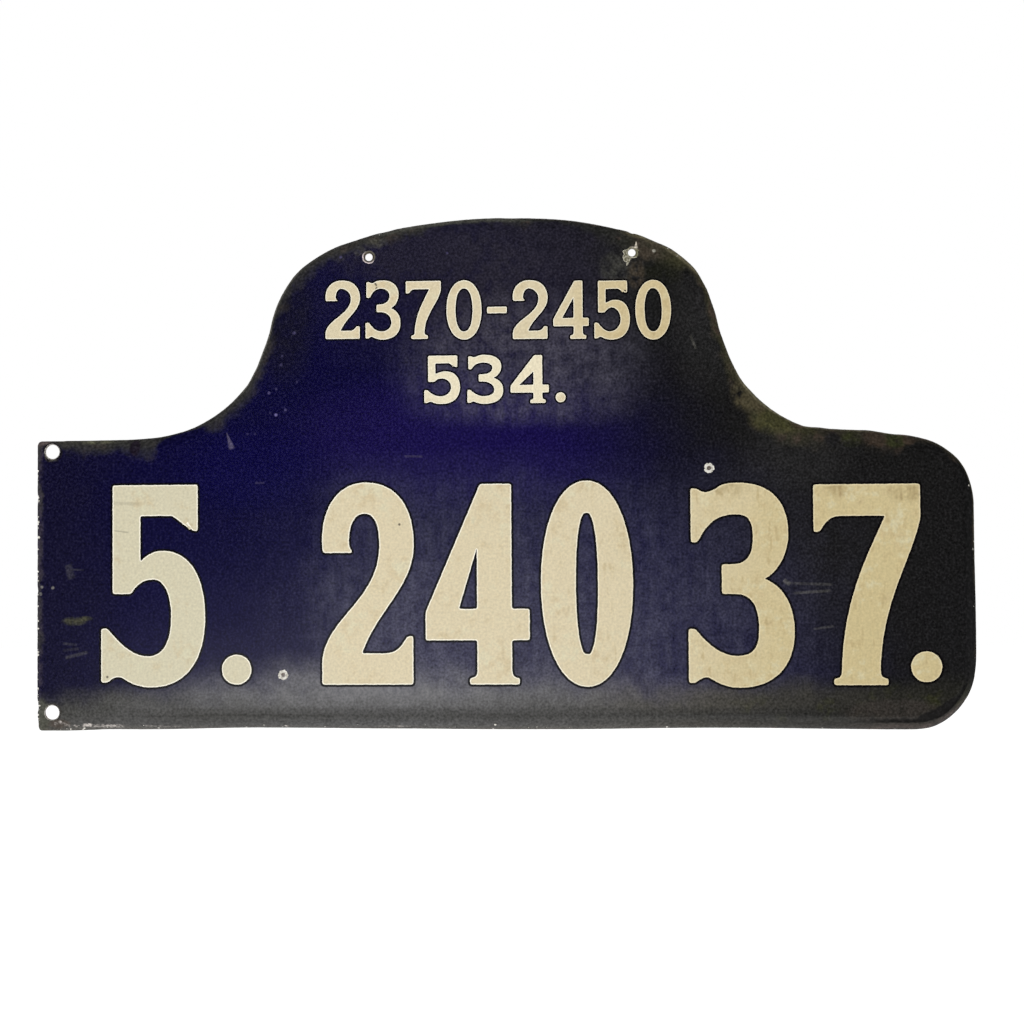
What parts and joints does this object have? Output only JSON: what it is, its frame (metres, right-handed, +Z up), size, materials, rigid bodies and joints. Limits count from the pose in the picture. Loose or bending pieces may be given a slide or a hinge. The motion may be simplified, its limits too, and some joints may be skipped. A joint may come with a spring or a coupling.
{
  "type": "street name sign",
  "caption": "Enamelled steel street name plate with a rounded hump on top, rolled-back edges, a flat end bolted to a post and bolt holes in the hump.",
  "frame": {"origin": "middle between the two bolt holes of the flat end, on the back face of the sheet", "axes": "+X along the sign from its flat bolted end to its rounded end, +Y out of the back towards the post or wall, so the written face looks along -Y, +Z up"},
  "size_m": [0.813, 0.0088, 0.446],
  "materials": {
    "blue_enamel": "glossy vitreous enamel on steel, weathered, hazy towards the right and olive at the rolled edges",
    "cream_enamel": "cream vitreous enamel figures, slightly proud of the ground, streaked and pitted",
    "bare_steel": "steel laid bare where the enamel has chipped, dull and lightly rusted"
  },
  "bodies": {
    "root": {"sign_plate": "blue_enamel"}
  },
  "joints": []
}
